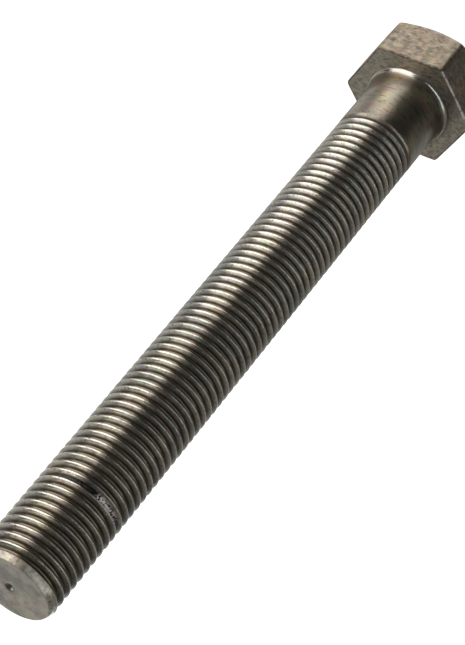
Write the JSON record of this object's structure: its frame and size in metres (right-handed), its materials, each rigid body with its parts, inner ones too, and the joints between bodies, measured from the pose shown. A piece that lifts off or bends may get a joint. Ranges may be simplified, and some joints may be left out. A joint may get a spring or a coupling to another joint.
{
  "type": "hex bolt",
  "caption": "Long hex head bolt with a short plain shank, a coarse right-hand thread and a chamfered end.",
  "frame": {"origin": "on the bolt's axis, in the plane of the bearing face under the head", "axes": "+Z along the bolt's axis from the head to the threaded end; +X through a corner of the hexagon; +Y square to two of its flats"},
  "size_m": [0.037, 0.032, 0.194],
  "materials": {
    "head_steel": "forged, with turned bearing face",
    "shank_steel": "drawn, with fine scratches round it",
    "thread_steel": "rolled and bright on the crests"
  },
  "bodies": {
    "root": {"hex_head": "head_steel", "plain_shank": "shank_steel", "thread": "thread_steel"}
  },
  "joints": []
}
